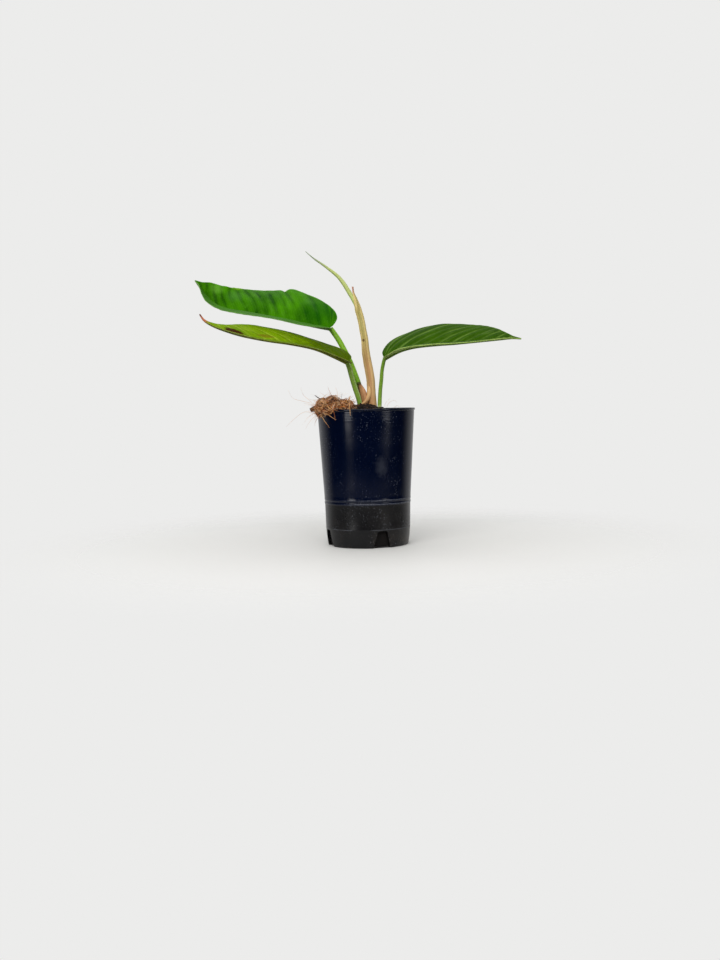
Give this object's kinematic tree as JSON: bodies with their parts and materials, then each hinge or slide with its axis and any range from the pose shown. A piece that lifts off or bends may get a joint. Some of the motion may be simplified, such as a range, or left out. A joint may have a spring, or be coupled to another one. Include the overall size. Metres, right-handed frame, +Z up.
{
  "type": "potted aroid house plant",
  "caption": "Small potted aroid with long-stalked pleated leaves, a tall dry sheath round a rolled new leaf, and fibre over the rim.",
  "frame": {"origin": "centre of the pot's underside, on the surface it stands on", "axes": "+Z up along the pot's axis, +X to the right and -Y to the front, where the pot is seen with a leaf to each side"},
  "size_m": [0.2695, 0.0987, 0.2415],
  "materials": {
    "pot_plastic": "satin",
    "potting_mix": "matte",
    "old_stem": "matte",
    "fibre": "matte",
    "green_stalk": "satin",
    "pale_stalk": "satin",
    "young_blade": "satin",
    "old_blade": "satin",
    "dark_blade": "satin",
    "dry_sheath": "matte",
    "new_leaf": "satin",
    "brown_scale": "matte"
  },
  "bodies": {
    "root": {"pot": "pot_plastic", "potting_mix": "potting_mix", "stem": "old_stem", "fibre_mat": "fibre", "sheath": "dry_sheath", "new_leaf": "new_leaf", "old_sheath": "brown_scale", "petiole_upper_left": "green_stalk", "blade_upper_left": "young_blade", "petiole_lower_left": "pale_stalk", "blade_lower_left": "old_blade", "petiole_right": "green_stalk", "blade_right": "dark_blade"}
  },
  "joints": []
}
